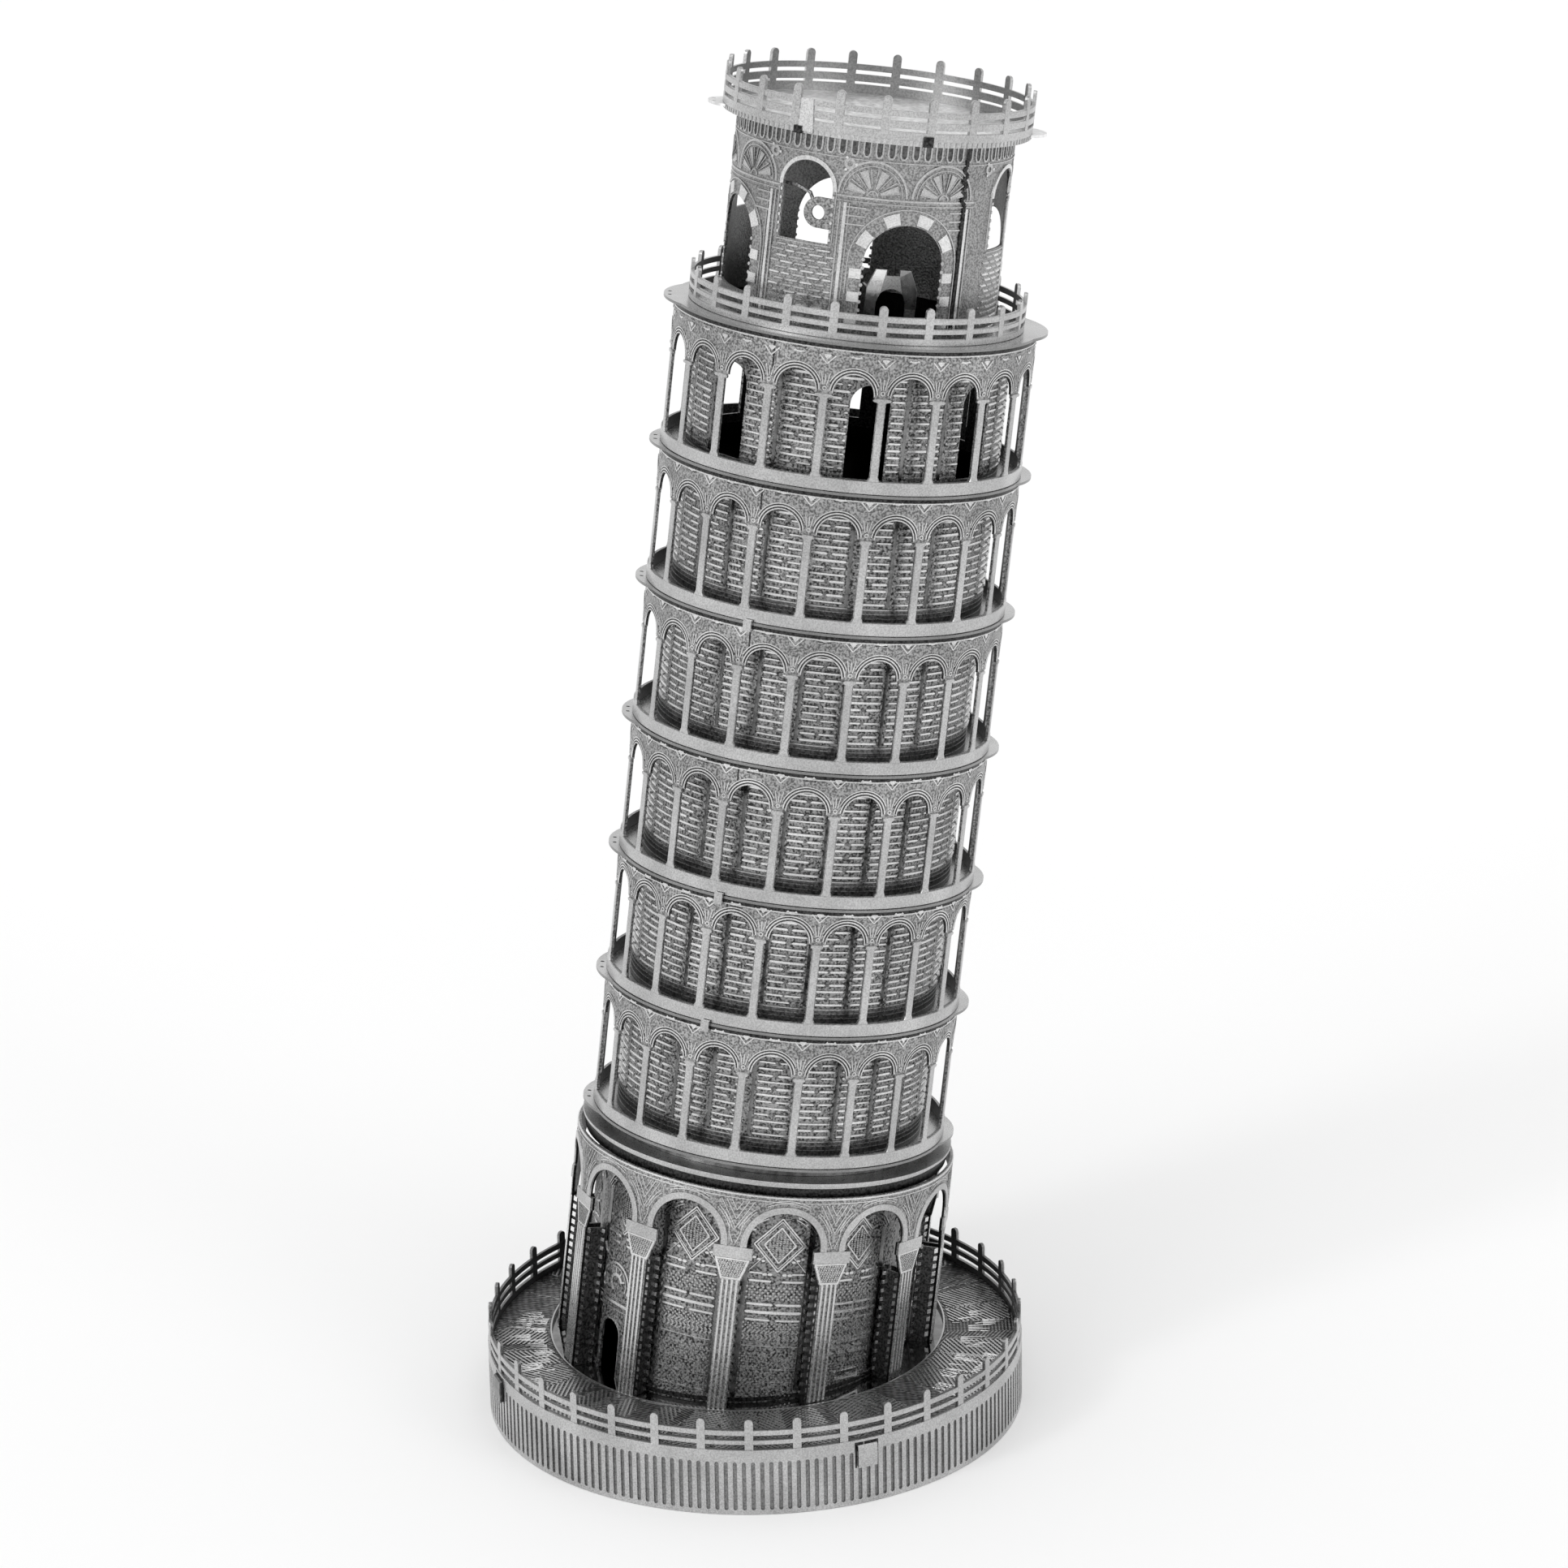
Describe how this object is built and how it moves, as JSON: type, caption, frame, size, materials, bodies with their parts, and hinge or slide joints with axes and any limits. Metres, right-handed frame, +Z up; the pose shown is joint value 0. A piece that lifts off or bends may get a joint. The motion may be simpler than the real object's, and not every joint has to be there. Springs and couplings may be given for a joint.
{
  "type": "leaning bell tower model",
  "caption": "Desk souvenir of a leaning round bell tower with arcaded galleries on a railed plinth, folded from thin etched steel sheet.",
  "frame": {"origin": "centre of the plinth's lower edge, on the surface the model stands on", "axes": "+Z up, -Y the front seen first, +X the side that the tower leans to"},
  "size_m": [0.0437, 0.0426, 0.1034],
  "materials": {
    "bright_steel": "smooth satin",
    "etched_steel": "half-etched, grainy",
    "plate_steel": "satin with etched pattern",
    "dark_steel": "shaded inner sheet"
  },
  "bodies": {
    "root": {"plinth_band_front": "bright_steel", "plinth_band_back": "bright_steel", "plaza_disc": "plate_steel", "basin_floor": "plate_steel", "basin_collar": "bright_steel", "ground_wall": "etched_steel", "ground_arcade": "etched_steel", "cornice_skirt": "plate_steel", "cornice_plate": "plate_steel", "cornice_setback": "dark_steel", "gallery_1_deck": "plate_steel", "gallery_2_deck": "plate_steel", "gallery_3_deck": "plate_steel", "gallery_4_deck": "plate_steel", "gallery_5_deck": "plate_steel", "gallery_6_deck": "plate_steel", "gallery_1_wall": "etched_steel", "gallery_2_wall": "etched_steel", "gallery_3_wall": "etched_steel", "gallery_4_wall": "etched_steel", "gallery_5_wall": "etched_steel", "gallery_6_wall": "etched_steel", "gallery_1_arcade": "etched_steel", "gallery_2_arcade": "etched_steel", "gallery_3_arcade": "etched_steel", "gallery_4_arcade": "etched_steel", "gallery_5_arcade": "etched_steel", "gallery_6_arcade": "etched_steel", "belfry_deck": "plate_steel", "gallery_railing": "bright_steel", "belfry_wall": "etched_steel", "bell_frame": "bright_steel", "bell_ring": "etched_steel", "top_deck": "plate_steel", "top_railing": "bright_steel", "seam_clips": "bright_steel"}
  },
  "joints": []
}
